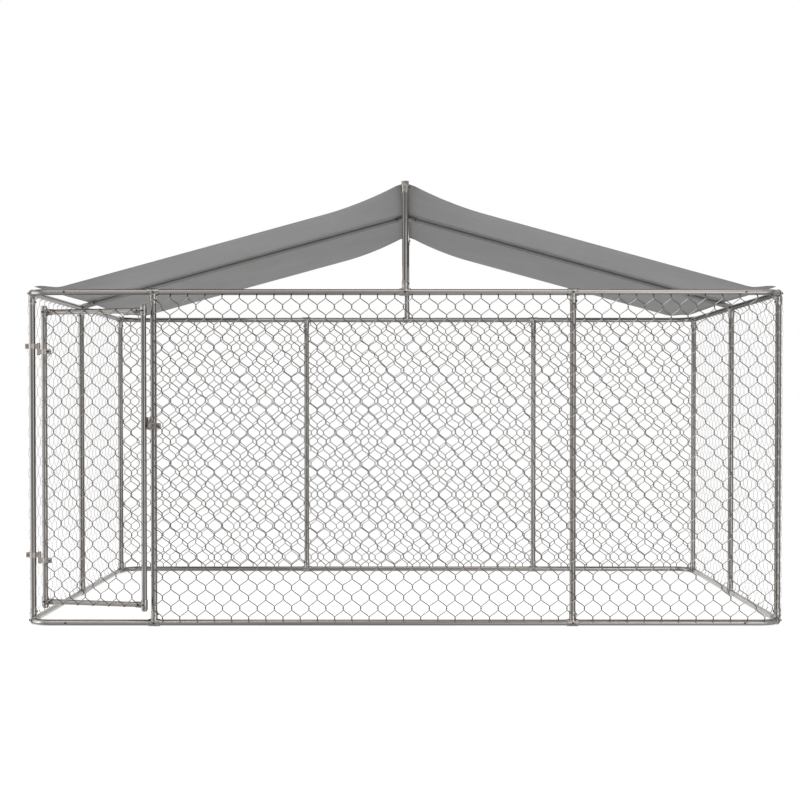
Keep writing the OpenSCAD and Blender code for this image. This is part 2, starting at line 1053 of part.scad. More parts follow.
// A door tee: its saddle stands on the stile, its sleeve lies along +X, its screws face the front
module door_tee() {
    bore_r = door_r + fit_clear;
    difference() {
        union() {
            cylinder(r = door_saddle_r, h = door_saddle_l, center = true);
            along_x()
                cylinder(r = bore_r + sleeve_wall, h = door_sleeve_reach);
        }
        cylinder(r = bore_r, h = door_saddle_l + 2 * over, center = true);
        translate([door_r, 0, 0])
            along_x()
                cylinder(r = bore_r, h = door_sleeve_reach);
        rotate([0, 0, 180])
            screw_hole(door_saddle_r);
        translate([door_screw_x, 0, 0])
            rotate([0, 0, 180])
                screw_hole(bore_r + sleeve_wall);
    }
}

module door_tee_screws() {
    rotate([0, 0, 180])
        screw(door_saddle_r, saddle_wall + fit_clear + tube_wall + over);
    translate([door_screw_x, 0, 0])
        rotate([0, 0, 180])
            screw(door_r + fit_clear + sleeve_wall, sleeve_wall + fit_clear + tube_wall + over);
}

module at_door_corners() {
    at_door()
        for (z = [low_bar_z, high_bar_z]) {
            translate([stile_from_pin, 0, z])
                children();
            translate([leaf_w, 0, z])
                mirror([1, 0, 0])
                    children();
        }
}

module door_tees() {
    color(dark_zinc)
        at_door_corners()
            door_tee();
}

// The net lies on the front of the door, on the sleeves of its tees, between their saddles and screws
module door_net() {
    inset = door_saddle_r + net_clear;
    off = door_r + fit_clear + sleeve_wall + net_clear;
    color(dark_zinc)
        at_door()
            translate([stile_from_pin + inset, -off, low_bar_z + door_net_in])
                net(leaf_w - stile_from_pin - 2 * inset, high_bar_z - low_bar_z - 2 * door_net_in);
}

// Hinges

// A clamp round a tube at the origin: its eye lies at +X, and its bolt ears lie at -X
module hinge_clamp(d, eye_x) {
    inner_r = d / 2 + clamp_clear;
    outer_r = inner_r + clamp_wall;
    difference() {
        union() {
            cylinder(r = outer_r, h = clamp_h, center = true);
            translate([eye_x / 2, 0, 0])
                cube([eye_x, ear_t, clamp_h], center = true);
            translate([eye_x, 0, 0])
                cylinder(r = eye_r, h = clamp_h, center = true);
            translate([-inner_r - ear_l / 2, 0, 0])
                cube([ear_l, ear_t, clamp_h], center = true);
        }
        cylinder(r = inner_r, h = clamp_h + 2 * over, center = true);
        translate([eye_x, 0, 0])
            cylinder(r = pin_d / 2 + pin_clear, h = clamp_h + 2 * over, center = true);
        translate([-inner_r - ear_l / 2, 0, 0]) {
            cube([ear_l + 2 * over, ear_slit, clamp_h + 2 * over], center = true);
            along_y()
                cylinder(r = bolt_hole_r, h = ear_t + 2 * over, center = true);
        }
    }
}

// The bolt of a clamp: head and nut on the outside of the ears
module clamp_bolt(d) {
    translate([-d / 2 - clamp_clear - ear_l / 2, 0, 0])
        along_y() {
            cylinder(d = screw_d, h = ear_t + head_h, center = true, $fn = 12);
            for (side = [-1, 1])
                translate([0, 0, side * (ear_t + head_h + touch) / 2])
                    cylinder(d = head_af / cos(30), h = head_h, center = true, $fn = 6);
        }
}

module at_post_clamp(z) {
    translate([-corner_x, -corner_y, z])
        children();
}

// The stile's clamp points its eye back at the pin
module at_stile_clamp(z) {
    at_door()
        translate([stile_from_pin, 0, z - stile_clamp_drop])
            rotate([0, 0, 180])
                children();
}

module upper_post_clamp() {
    color(dark_zinc)
        at_post_clamp(upper_hinge_z)
            hinge_clamp(tube_d, pin_from_post);
}

module lower_post_clamp() {
    color(dark_zinc)
        at_post_clamp(lower_hinge_z)
            hinge_clamp(tube_d, pin_from_post);
}

module upper_stile_clamp() {
    color(dark_zinc)
        at_stile_clamp(upper_hinge_z)
            hinge_clamp(door_tube_d, stile_from_pin);
}

module lower_stile_clamp() {
    color(dark_zinc)
        at_stile_clamp(lower_hinge_z)
            hinge_clamp(door_tube_d, stile_from_pin);
}

// A pin with its head on the post clamp's eye and its nut under the stile clamp's eye
module hinge_pin() {
    high = clamp_h / 2 + touch;
    low = -stile_clamp_drop - clamp_h / 2 - touch;
    translate([0, 0, low])
        cylinder(d = pin_d, h = high - low);
    translate([0, 0, high])
        cylinder(r = eye_r - over, h = head_h, $fn = 6);
    translate([0, 0, low - head_h])
        cylinder(r = eye_r - over, h = head_h, $fn = 6);
}

module hinge_pins() {
    color(zinc)
        for (z = [upper_hinge_z, lower_hinge_z])
            translate([pin_x, pin_y, z])
                hinge_pin();
}

// Latch

// A clamp round the door post with bolt ears at +X, a front plate and a stop behind the latch stile
module latch_clamp() {
    inner_r = tube_r + clamp_clear;
    outer_r = inner_r + clamp_wall;
    stop_x = latch_stile_x - door_r;
    stop_w = door_tube_d + latch_side_gap / 2;
    low = latch_z - latch_clamp_h / 2;
    color(dark_zinc)
        difference() {
            union() {
                translate([door_post_x, -half_d, low])
                    cylinder(r = outer_r, h = latch_clamp_h);
                translate([door_post_x + inner_r, -half_d - ear_t / 2, low])
                    cube([ear_l, ear_t, latch_clamp_h]);
                translate([stop_x, latch_plate_y - latch_plate_t, low])
                    cube([door_post_x + tube_r - stop_x, latch_plate_t, latch_plate_h]);
                translate([stop_x, stop_y, low])
                    cube([stop_w, latch_plate_y - stop_y, 2 * latch_clamp_h]);
            }
            translate([door_post_x, -half_d, low - over])
                cylinder(r = inner_r, h = latch_clamp_h + 2 * over);
            translate([door_post_x + inner_r - over, -half_d - ear_slit / 2, low - over])
                cube([ear_l + 2 * over, ear_slit, latch_clamp_h + 2 * over]);
            translate([door_post_x + inner_r + ear_l / 2, -half_d, latch_z])
                along_y()
                    cylinder(r = bolt_hole_r, h = ear_t + 2 * over, center = true);
        }
}

// The stud that carries the drop bar, and the pin that stops it up and down
module latch_pins() {
    seat = latch_plate_y - latch_plate_t;
    bar_front = bar_y - bar_t;
    color(zinc) {
        translate([stud_x, 0, stud_z]) {
            translate([0, bar_front - touch, 0])
                along_y()
                    cylinder(d = stud_d, h = seat - bar_front + touch);
            translate([0, bar_y + touch, 0])
                along_y()
                    cylinder(d = stud_head_d, h = seat - bar_y - touch);
            translate([0, bar_front - touch - stud_head_h, 0])
                along_y()
                    cylinder(d = stud_head_d, h = stud_head_h);
        }
        translate([stop_pin_x, bar_front, stop_pin_z])
            along_y()
                cylinder(d = stop_pin_d, h = seat - bar_front);
    }
}

// A flat bar on the stud, raised and leaning away from the door
module latch_bar() {
    tip = bar_l - bar_w / 2;
    color(zinc)
        translate([stud_x, bar_y, stud_z])
            rotate([90, 0, 0])
                rotate([0, 0, -bar_lean])
                    linear_extrude(bar_t)
                        difference() {
                            union() {
                                translate([-bar_w / 2, -bar_tail])
                                    square([bar_w, bar_tail + tip]);
                                translate([0, tip])
                                    circle(d = bar_w);
                                translate([0, -bar_tail])
                                    circle(d = bar_w);
                            }
                            circle(d = stud_d + 2 * pin_clear);
                        }
}

// Fasteners

module rail_joint_screws() {
    length = 2 * tube_wall + spigot_clear + over;
    color(dark_zinc)
        for (top = [false, true])
            at_level(top)
                at_bends() {
                    translate([bend_r, -bend_leg - joint_screw_in, 0])
                        rotate([0, 0, -90])
                            screw(tube_r, length);
                    translate([-bend_leg - joint_screw_in, bend_r, 0])
                        screw(tube_r, length);
                }
}

module post_tee_screws(top) {
    color(dark_zinc)
        at_level(top) {
            at_straight_posts()
                tee_screws(tube_d, sleeve_reach);
            at_bends()
                corner_tee_screws();
        }
}

module bottom_tee_screws() {
    post_tee_screws(false);
}

module top_tee_screws() {
    post_tee_screws(true);
}

module roof_screws() {
    socket_screw = saddle_wall + fit_clear + tube_wall + over;
    color(dark_zinc) {
        at_poles() {
            translate([0, 0, eaves_z])
                tee_screws(tube_d, sleeve_reach);
            ridge_tee_turn()
                tee_screws(tube_d, sleeve_reach);
        }
        translate([0, cross_screw_y, ridge_z])
            rotate([0, 0, -90])
                screw(saddle_r, socket_screw);
        both_sides()
            down_rafter()
                for (x = rafter_screws)
                    translate([x, 0, 0])
                        rotate([0, 0, 180])
                            screw(socket_r, socket_screw);
    }
}

module clamp_bolts() {
    color(dark_zinc) {
        for (z = [upper_hinge_z, lower_hinge_z])
            at_post_clamp(z)
                clamp_bolt(tube_d);
        translate([door_post_x, -half_d, latch_z])
            rotate([0, 0, 180])
                clamp_bolt(tube_d);
    }
}

module door_bolts() {
    color(dark_zinc) {
        for (z = [upper_hinge_z, lower_hinge_z])
            at_stile_clamp(z)
                clamp_bolt(door_tube_d);
        at_door_corners()
            door_tee_screws();
    }
}

front_bottom_rail();
rear_bottom_rail();
left_bottom_rail();
right_bottom_rail();
front_top_rail();
rear_top_rail();
left_top_rail();
right_top_rail();
bottom_corner_bends();
top_corner_bends();
front_left_post();
front_right_post();
rear_left_post();
rear_right_post();
door_post();
front_middle_post();
rear_middle_post_left();
rear_middle_post_right();
left_middle_post();
right_middle_post();
bottom_tees();
top_tees();
bottom_corner_tees();
top_corner_tees();
front_pole();
rear_pole();
pole_base_tees();
ridge_tees();
ridge_tube();
ridge_cross_fitting();
left_rafter();
right_rafter();
rafter_feet();
canopy_left();
canopy_right();
front_net();
rear_net();
left_net();
right_net();
corner_nets();
upper_post_clamp();
lower_post_clamp();
hinge_pins();
latch_clamp();
latch_pins();
latch_bar();
hinge_stile();
latch_stile();
door_top_bar();
door_bottom_bar();
door_tees();
door_net();
upper_stile_clamp();
lower_stile_clamp();
rail_joint_screws();
bottom_tee_screws();
top_tee_screws();
roof_screws();
clamp_bolts();
door_bolts();
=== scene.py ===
import json
import math

import bpy
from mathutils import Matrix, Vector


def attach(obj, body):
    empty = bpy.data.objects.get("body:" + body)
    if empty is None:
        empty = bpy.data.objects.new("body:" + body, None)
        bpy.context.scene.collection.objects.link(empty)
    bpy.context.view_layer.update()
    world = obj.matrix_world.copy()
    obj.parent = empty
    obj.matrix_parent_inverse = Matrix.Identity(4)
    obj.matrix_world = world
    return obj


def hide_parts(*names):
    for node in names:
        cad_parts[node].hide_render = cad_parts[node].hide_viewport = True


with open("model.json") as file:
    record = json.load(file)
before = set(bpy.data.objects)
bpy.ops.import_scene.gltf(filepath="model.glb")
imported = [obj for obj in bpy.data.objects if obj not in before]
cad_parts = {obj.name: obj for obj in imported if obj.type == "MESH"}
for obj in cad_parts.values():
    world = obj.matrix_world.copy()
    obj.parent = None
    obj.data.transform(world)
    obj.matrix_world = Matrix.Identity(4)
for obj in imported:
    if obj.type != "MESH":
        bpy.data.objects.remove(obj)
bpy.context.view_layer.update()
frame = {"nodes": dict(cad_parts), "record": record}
nodes = frame["nodes"]
print("frame loaded,", len(nodes), "nodes")


def hexColour(code):  # sRGB hex to linear
    parts = [int(code[i:i + 2], 16) / 255 for i in (1, 3, 5)]
    return (*[c / 12.92 if c <= 0.04045 else ((c + 0.055) / 1.055) ** 2.4 for c in parts], 1.0)


def addNode(tree, kind, *values, sockets=None, out=0, **settings):  # node with its settings and links
    node = tree.nodes.new(kind)
    for key, value in settings.items():
        setattr(node, key, value)
    for key, value in [*enumerate(values), *(sockets or {}).items()]:
        if isinstance(value, bpy.types.NodeSocket):
            tree.links.new(value, node.inputs[key])
        elif value is not None:
            node.inputs[key].default_value = value
    return node.outputs[out] if node.outputs else None


def newMaterial(name):
    material = bpy.data.materials.new(name)
    material.use_nodes = True
    material.node_tree.nodes.clear()
    return material, material.node_tree


def seenRays(tree):  # 1 for rays from the camera and for those that metal or glass sends on
    rays = addNode(tree, "ShaderNodeLightPath").node.outputs
    seen = addNode(tree, "ShaderNodeMath", rays["Is Camera Ray"], rays["Is Glossy Ray"], operation="ADD")
    return addNode(tree, "ShaderNodeMath", seen, rays["Is Transmission Ray"], operation="ADD", use_clamp=True)


pureWhite = (1, 1, 1, 1)
noiseRange = (0.3, 0.7)  # most of what a noise texture gives lies in here

# camera of the photograph: just right of the run's middle, at chest height
view = {
    "place": (0.0394, -8.026, 1.1655), "pitchDown": 0.98, "lens": 59.1, "sensor": 36,
    "shift": (-0.0159, 0.0339),
}

cameraData = bpy.data.cameras.new("photoCamera")
cameraData.lens = view["lens"]
cameraData.sensor_width = view["sensor"]
cameraData.shift_x, cameraData.shift_y = view["shift"]
camera = bpy.data.objects.new("photoCamera", cameraData)
camera.location = view["place"]
camera.rotation_euler = (math.radians(90 - view["pitchDown"]), 0, 0)
bpy.context.scene.collection.objects.link(camera)
bpy.context.scene.camera = camera
bpy.context.scene.view_settings.view_transform = "Standard"
print("camera set")


# soft light in a pale room: a slanting strip high on the left, a box high in front, upright boxes left and
# right that reach below the floor, and a weak lamp under the canopy
studio = {
    "roomLight": 0.73, "floorGlow": 0.80, "floorBounce": "#d6d6d6", "floorColour": "#9a9a9a",
    "fade": (3.2, 7.5), "floorRadius": 14, "floorSides": 64, "floorDrop": 0.001,
}
lamps = {  # place, point looked at, size, power in watts, turn about its own aim in degrees
    "slantStrip": ((-4.6, -6.9, 5.4), (0, -0.6, 0.9), (6.5, 0.6), 46, -34),
    "frontBox": ((0.0, -4.4, 6.6), (0, -1.0, 1.3), (7.0, 3.6), 125, 0),
    "leftBox": ((-7.0, -1.7, 0.7), (0, -1.0, 0.7), (4.4, 5.6), 235, 0),
    "rightBox": ((3.3, -5.9, 0.6), (0, -1.0, 0.6), (3.6, 4.6), 155, 0),
    "insideBox": ((0.0, 0.1, 1.93), (0, 0.1, 0), (2.3, 1.8), 20, 0),
}

world = bpy.data.worlds.new("paleRoom")
bpy.context.scene.world = world
world.use_nodes = True
tree = world.node_tree
tree.nodes.clear()
dim = addNode(tree, "ShaderNodeBackground", pureWhite, studio["roomLight"])
white = addNode(tree, "ShaderNodeBackground", pureWhite, 1.0)
addNode(tree, "ShaderNodeOutputWorld", addNode(tree, "ShaderNodeMixShader", seenRays(tree), dim, white))

for name, (place, target, size, power, roll) in lamps.items():
    lampData = bpy.data.lights.new(name, "AREA")
    lampData.shape = "RECTANGLE"
    lampData.size, lampData.size_y = size
    lampData.energy = power
    lamp = bpy.data.objects.new(name, lampData)
    lamp.location = place
    lamp.visible_camera = False
    aim = Vector(target) - Vector(place)
    lamp.rotation_euler = aim.to_track_quat("-Z", "Y").to_euler()
    lamp.rotation_euler.rotate_axis("Z", math.radians(roll))
    bpy.context.scene.collection.objects.link(lamp)

# pale floor that keeps the shadow near the run and runs out into the white room
floorMaterial, tree = newMaterial("paleStudioFloor")
spot = addNode(tree, "ShaderNodeTexCoord").node.outputs["Object"]
reach = addNode(tree, "ShaderNodeVectorMath", spot, out=1, operation="LENGTH")
away = addNode(tree, "ShaderNodeMapRange", reach, *studio["fade"], 0.0, 1.0, interpolation_type="SMOOTHSTEP")
glow = addNode(tree, "ShaderNodeEmission", pureWhite, studio["floorGlow"])
lit = addNode(tree, "ShaderNodeBsdfDiffuse", hexColour(studio["floorColour"]))
near = addNode(tree, "ShaderNodeAddShader", glow, lit)
far = addNode(tree, "ShaderNodeEmission", pureWhite, 1.0)
shown = addNode(tree, "ShaderNodeMixShader", away, near, far)
bounce = addNode(tree, "ShaderNodeBsdfDiffuse", hexColour(studio["floorBounce"]))
addNode(tree, "ShaderNodeOutputMaterial", addNode(tree, "ShaderNodeMixShader", seenRays(tree), bounce, shown))
floorMesh = bpy.data.meshes.new("studioFloor")
turns = [2 * math.pi * i / studio["floorSides"] for i in range(studio["floorSides"])]
rim = [(studio["floorRadius"] * math.cos(a), studio["floorRadius"] * math.sin(a), 0) for a in turns]
floorMesh.from_pydata(rim, [], [list(range(len(rim)))])
floorMesh.materials.append(floorMaterial)
floor = bpy.data.objects.new("studioFloor", floorMesh)
floor.location = (0, 0, -studio["floorDrop"])
floor.visible_glossy = False  # so that the strips of light on the posts run on to the ground
bpy.context.scene.collection.objects.link(floor)
print("studio lit")


# hot-dip galvanised drawn tube: grey zinc with bright and dark streaks along the tube, partly draw marks and
# partly painted reflection strips of the lamps, soft patches of bloom
tubeFinish = {  # streak and patch: length along the tube and width across it, in metres
    "dark": "#6c6866", "light": "#96928f", "bloom": "#807d7b", "bloomShare": 0.35, "edge": "#ffffff",
    "metallic": 1.0, "roughness": (0.11, 0.18), "streak": (2.4, 0.013), "streakRange": (0.40, 0.66),
    "patch": (0.30, 0.050), "patchRange": (0.45, 0.72), "pits": 0.004, "pitBump": (0.04, 0.0004),
}
uprightFinish = {**tubeFinish, "dark": "#5e5c59", "light": "#797674", "bloom": "#6b6866"}
railFinish = {**tubeFinish, "roughness": (0.22, 0.30)}
# right top rail: painted shade, its zinc coloured darker than the other tubes and duller at grazing angles
paintedShadeFinish = {**tubeFinish, "dark": "#3b3938", "light": "#66635f", "bloom": "#565451", "edge": "#c8c8c8"}
# rafters: almost matt, as they look in the canopy's shade
rafterFinish = {
    **tubeFinish, "dark": "#7f7d7b", "light": "#8e8c89", "bloom": "#878582", "roughness": (0.5, 0.6),
    "metallic": 0.25,
}
# door bars and side rails on the ground: painted light, their zinc coloured brighter than the other tubes
paintedLightBarFinish = {**railFinish, "dark": "#85817e", "light": "#bfbcb7", "bloom": "#a8a5a2"}
paintedLightGroundFinish = {**railFinish, "dark": "#959290", "light": "#cdcac6", "bloom": "#b5b2ae"}


def galvanisedTube(name, along, turn=(0, 0, 0), finish=tubeFinish):  # along: axis that the streaks follow
    material, tree = newMaterial(name)
    spot = addNode(tree, "ShaderNodeTexCoord").node.outputs["Object"]
    fields = []
    for key, detail in (("streak", 1.0), ("patch", 2.0)):
        length, width = finish[key]
        scale = [width] * 3
        scale[along] = length
        place = addNode(tree, "ShaderNodeMapping", sockets={
            "Vector": spot, "Rotation": [math.radians(a) for a in turn], "Scale": scale}, vector_type="TEXTURE")
        fields.append(addNode(tree, "ShaderNodeTexNoise", sockets={
            "Vector": place, "Scale": 1.0, "Detail": detail, "Roughness": 0.6}))
    # streaks: partly real draw marks, partly painted reflection strips along the tube
    streak = addNode(tree, "ShaderNodeMapRange", fields[0], *finish["streakRange"], 0.0, 1.0)
    patch = addNode(tree, "ShaderNodeMapRange", fields[1], *finish["patchRange"], 0.0, finish["bloomShare"])
    colour = addNode(tree, "ShaderNodeMix", streak, data_type="RGBA", out=2, sockets={
        6: hexColour(finish["dark"]), 7: hexColour(finish["light"])})
    colour = addNode(tree, "ShaderNodeMix", patch, data_type="RGBA", out=2, sockets={
        6: colour, 7: hexColour(finish["bloom"])})
    rough = addNode(tree, "ShaderNodeMapRange", fields[1], *noiseRange, *finish["roughness"])
    pits = addNode(tree, "ShaderNodeTexNoise", sockets={"Vector": spot, "Scale": 1 / finish["pits"]})
    strength, depth = finish["pitBump"]
    bump = addNode(tree, "ShaderNodeBump", sockets={"Strength": strength, "Distance": depth, "Height": pits})
    shader = addNode(tree, "ShaderNodeBsdfPrincipled", sockets={
        "Base Color": colour, "Metallic": finish["metallic"], "Roughness": rough, "Normal": bump,
        "Specular Tint": hexColour(finish["edge"])})
    addNode(tree, "ShaderNodeOutputMaterial", shader)
    return material


# pressed and cast fittings, galvanised after forming: duller and cloudier than the tube, no draw streaks
fittingFinish = {
    "dark": "#5c5957", "light": "#97938f", "cloud": 0.016, "cloudRange": (0.34, 0.68), "grain": 0.0035,
    "grainBump": (0.10, 0.0005), "metallic": 1.0, "roughness": (0.18, 0.28),
}
# clamps and pins: brighter and more even than the fittings
clampFinish = {
    **fittingFinish, "dark": "#837e79", "light": "#9d9892", "cloud": 0.010, "roughness": (0.42, 0.50),
}


def galvanisedFitting(name, finish=fittingFinish):
    material, tree = newMaterial(name)
    spot = addNode(tree, "ShaderNodeTexCoord").node.outputs["Object"]
    cloud = addNode(tree, "ShaderNodeTexNoise", sockets={
        "Vector": spot, "Scale": 1 / finish["cloud"], "Detail": 3.0, "Roughness": 0.6})
    shade = addNode(tree, "ShaderNodeMapRange", cloud, *finish["cloudRange"], 0.0, 1.0)
    colour = addNode(tree, "ShaderNodeMix", shade, data_type="RGBA", out=2, sockets={
        6: hexColour(finish["dark"]), 7: hexColour(finish["light"])})
    rough = addNode(tree, "ShaderNodeMapRange", cloud, *noiseRange, *finish["roughness"])
    grain = addNode(tree, "ShaderNodeTexNoise", sockets={"Vector": spot, "Scale": 1 / finish["grain"]})
    strength, depth = finish["grainBump"]
    bump = addNode(tree, "ShaderNodeBump", sockets={"Strength": strength, "Distance": depth, "Height": grain})
    shader = addNode(tree, "ShaderNodeBsdfPrincipled", sockets={
        "Base Color": colour, "Metallic": finish["metallic"], "Roughness": rough, "Normal": bump})
    addNode(tree, "ShaderNodeOutputMaterial", shader)
    return material


# zinc-plated screws: small dark heads, a little brighter where the plating is thick
screwFinish = {
    "dark": "#262524", "light": "#454341", "blotch": 0.005, "metallic": 0.9, "roughness": (0.32, 0.5),
}


def zincPlatedScrew(name):
    material, tree = newMaterial(name)
    spot = addNode(tree, "ShaderNodeTexCoord").node.outputs["Object"]
    blotch = addNode(tree, "ShaderNodeTexNoise", sockets={
        "Vector": spot, "Scale": 1 / screwFinish["blotch"], "Detail": 2.0})
    colour = addNode(tree, "ShaderNodeMix", blotch, data_type="RGBA", out=2, sockets={
        6: hexColour(screwFinish["dark"]), 7: hexColour(screwFinish["light"])})
    rough = addNode(tree, "ShaderNodeMapRange", blotch, *noiseRange, *screwFinish["roughness"])
    shader = addNode(tree, "ShaderNodeBsdfPrincipled", sockets={
        "Base Color": colour, "Metallic": screwFinish["metallic"], "Roughness": rough})
    addNode(tree, "ShaderNodeOutputMaterial", shader)
    return material


# galvanised wire: each strand is a flat spiral; painted light: strands of one lie are coloured bright, those of
# the other lie and the knots dark, as though lit from one side
wireFinish = {
    "dark": "#5e5c59", "light": "#97938f", "run": 0.030, "runShare": 0.5, "shadeRange": (0.45, 1.0),
    "metallic": 1.0, "roughness": (0.18, 0.28),
}


def galvanisedWire(name):
    material, tree = newMaterial(name)
    spot = addNode(tree, "ShaderNodeTexCoord").node.outputs["Object"]
    run = addNode(tree, "ShaderNodeTexNoise", sockets={
        "Vector": spot, "Scale": 1 / wireFinish["run"], "Detail": 2.0, "Roughness": 0.6})
    # painted light: the strand's lie, stored on the mesh, sets how bright it is coloured
    lie = addNode(tree, "ShaderNodeAttribute", attribute_name="lie").node.outputs["Fac"]
    shade = addNode(tree, "ShaderNodeMath", run, wireFinish["runShare"], lie, operation="MULTIPLY_ADD")
    shade = addNode(tree, "ShaderNodeMapRange", shade, *wireFinish["shadeRange"], 0.0, 1.0)
    colour = addNode(tree, "ShaderNodeMix", shade, data_type="RGBA", out=2, sockets={
        6: hexColour(wireFinish["dark"]), 7: hexColour(wireFinish["light"])})
    rough = addNode(tree, "ShaderNodeMapRange", run, *noiseRange, *wireFinish["roughness"])
    shader = addNode(tree, "ShaderNodeBsdfPrincipled", sockets={
        "Base Color": colour, "Metallic": wireFinish["metallic"], "Roughness": rough})
    addNode(tree, "ShaderNodeOutputMaterial", shader)
    return material


leafTurn, rafterTilt = -12.23, 15.31  # of the door leaf at rest and of the rafters, in degrees
wireMaterial = galvanisedWire("galvanisedWire")
fittingMaterial = galvanisedFitting("galvanisedFitting")
clampMaterial = galvanisedFitting("platedClamp", clampFinish)
screwMaterial = zincPlatedScrew("zincPlatedScrew")
tubeMaterials = {
    "x": galvanisedTube("galvanisedTubeAlongX", 0, finish=railFinish),
    "y": galvanisedTube("galvanisedTubeAlongY", 1),
    # right top rail: painted shade, coloured darker than the other tubes
    "paintedShade": galvanisedTube("galvanisedTubePaintedShade", 1, finish=paintedShadeFinish),
    # side rails on the ground: painted light, coloured brighter than the other tubes
    "ground": galvanisedTube("galvanisedTubeOnGroundPaintedLight", 1, finish=paintedLightGroundFinish),
    "z": galvanisedTube("galvanisedTubeUpright", 2, finish=uprightFinish),
    # door bars: painted light, coloured brighter than the other tubes
    "leaf": galvanisedTube("galvanisedTubeDoorBarPaintedLight", 0, (0, 0, leafTurn), paintedLightBarFinish),
    "leftSlope": galvanisedTube("galvanisedTubeLeftRafter", 0, (0, -rafterTilt, 0), rafterFinish),
    "rightSlope": galvanisedTube("galvanisedTubeRightRafter", 0, (0, rafterTilt, 0), rafterFinish),
}
tubeRuns = {  # tubes that aren't upright
    "x": ["front_bottom_rail", "rear_bottom_rail", "front_top_rail", "rear_top_rail",
          "bottom_corner_bends", "top_corner_bends"],
    "y": ["left_top_rail", "ridge_tube"],
    "paintedShade": ["right_top_rail"],
    "ground": ["left_bottom_rail", "right_bottom_rail"],
    "leaf": ["door_top_bar", "door_bottom_bar"],
    "leftSlope": ["left_rafter"],
    "rightSlope": ["right_rafter"],
}
runOf = {node: run for run, members in tubeRuns.items() for node in members}
slotMaterials = {"fitting_steel": fittingMaterial, "screw_steel": screwMaterial, "net_wire": wireMaterial}
ownMaterials = {  # nodes that look unlike the rest of their slot
    "latch_pins": clampMaterial, "hinge_pins": clampMaterial, "clamp_bolts": fittingMaterial,
    "rafter_feet": tubeMaterials["leftSlope"], "ridge_cross_fitting": tubeMaterials["leftSlope"],
}
for subpart in frame["record"]["subparts"]:
    node = subpart["node"]
    material = slotMaterials.get(subpart["material_slot"], tubeMaterials[runOf.get(node, "z")])
    if node.endswith("_clamp"):
        material = clampMaterial
    for slot in nodes[node].material_slots:
        slot.link = "OBJECT"
        slot.material = ownMaterials.get(node, material)
print("steel finishes set")


def sizedTree(name, sizes):  # geometry tree with a path and one named input for each size
    tree = bpy.data.node_groups.new(name, "GeometryNodeTree")
    tree.interface.new_socket("path", in_out="INPUT", socket_type="NodeSocketGeometry")
    tree.interface.new_socket("mesh", in_out="OUTPUT", socket_type="NodeSocketGeometry")
    kinds = {int: "NodeSocketInt", float: "NodeSocketFloat"}
    for key, value in sizes.items():
        kind = kinds.get(type(value), "NodeSocketMaterial")
        tree.interface.new_socket(key, in_out="INPUT", socket_type=kind)
    given = tree.nodes.new("NodeGroupInput")
    return tree, {socket.name: socket for socket in given.outputs}


def grownMesh(name, tree, sizes, paths):  # runs the tree on polylines and keeps a plain mesh
    points, edges = [], []
    for path in paths:
        edges += [(i, i + 1) for i in range(len(points), len(points) + len(path) - 1)]
        points += path
    baseMesh = bpy.data.meshes.new(name + "Path")
    baseMesh.from_pydata(points, edges, [])
    base = bpy.data.objects.new(name + "Path", baseMesh)
    bpy.context.scene.collection.objects.link(base)
    modifier = base.modifiers.new(name, "NODES")
    modifier.node_group = tree
    for item in tree.interface.items_tree:
        if item.in_out == "INPUT" and item.name in sizes:
            modifier[item.identifier] = sizes[item.name]
    evaluated = base.evaluated_get(bpy.context.evaluated_depsgraph_get())
    mesh = bpy.data.meshes.new_from_object(evaluated)
    mesh.name = name
    base.modifiers.remove(modifier)
    bpy.data.objects.remove(base)
    piece = bpy.data.objects.new(name, mesh)
    bpy.context.scene.collection.objects.link(piece)
    print(name, len(mesh.polygons), "faces")
    return piece


# chain-link net: upright zigzag strands that hook round their neighbours, in metres and degrees
netSizes = {
    "wires": 73, "firstWire": 1, "halfWaves": 31, "halfPitch": 0.0452, "bottom": 0.0431, "top": 1.7314,
    # paintedLightLie: which lie of the strands is painted bright, +1 or -1
    "wireRadius": 0.0025, "hookWire": 0.0016, "flat": 0.5, "paintedLightLie": 1.0, "brightShare": 0.46,
    "knotShare": 0.06, "lap": 0.0034, "depth": 0.0026, "jitter": 0.006, "seed": 1.0,
    "bottomRail": 0.0195, "topRail": 1.755, "railInset": 0.0224, "hookRadius": 0.0179, "startRadius": 0.0325,
    "bottomStart": 46.5, "bottomSweep": 44.0, "topStart": -46.5, "topSweep": 20.0, "wire": wireMaterial,
}
weaveForm = {  # what all nets share
    "wireSides": 5, "stepsPerHalfWave": 6.0, "slimRange": (0.1, 0.7), "seedStep": 3.7, "wanderScale": 8.0,
    # hookPaintedLight: the share of painted light on the hook wires
    "wanderGain": 3.0, "calmEdge": 0.15, "hookPoints": 6, "hookEase": 0.2, "hookPaintedLight": 0.35,
}


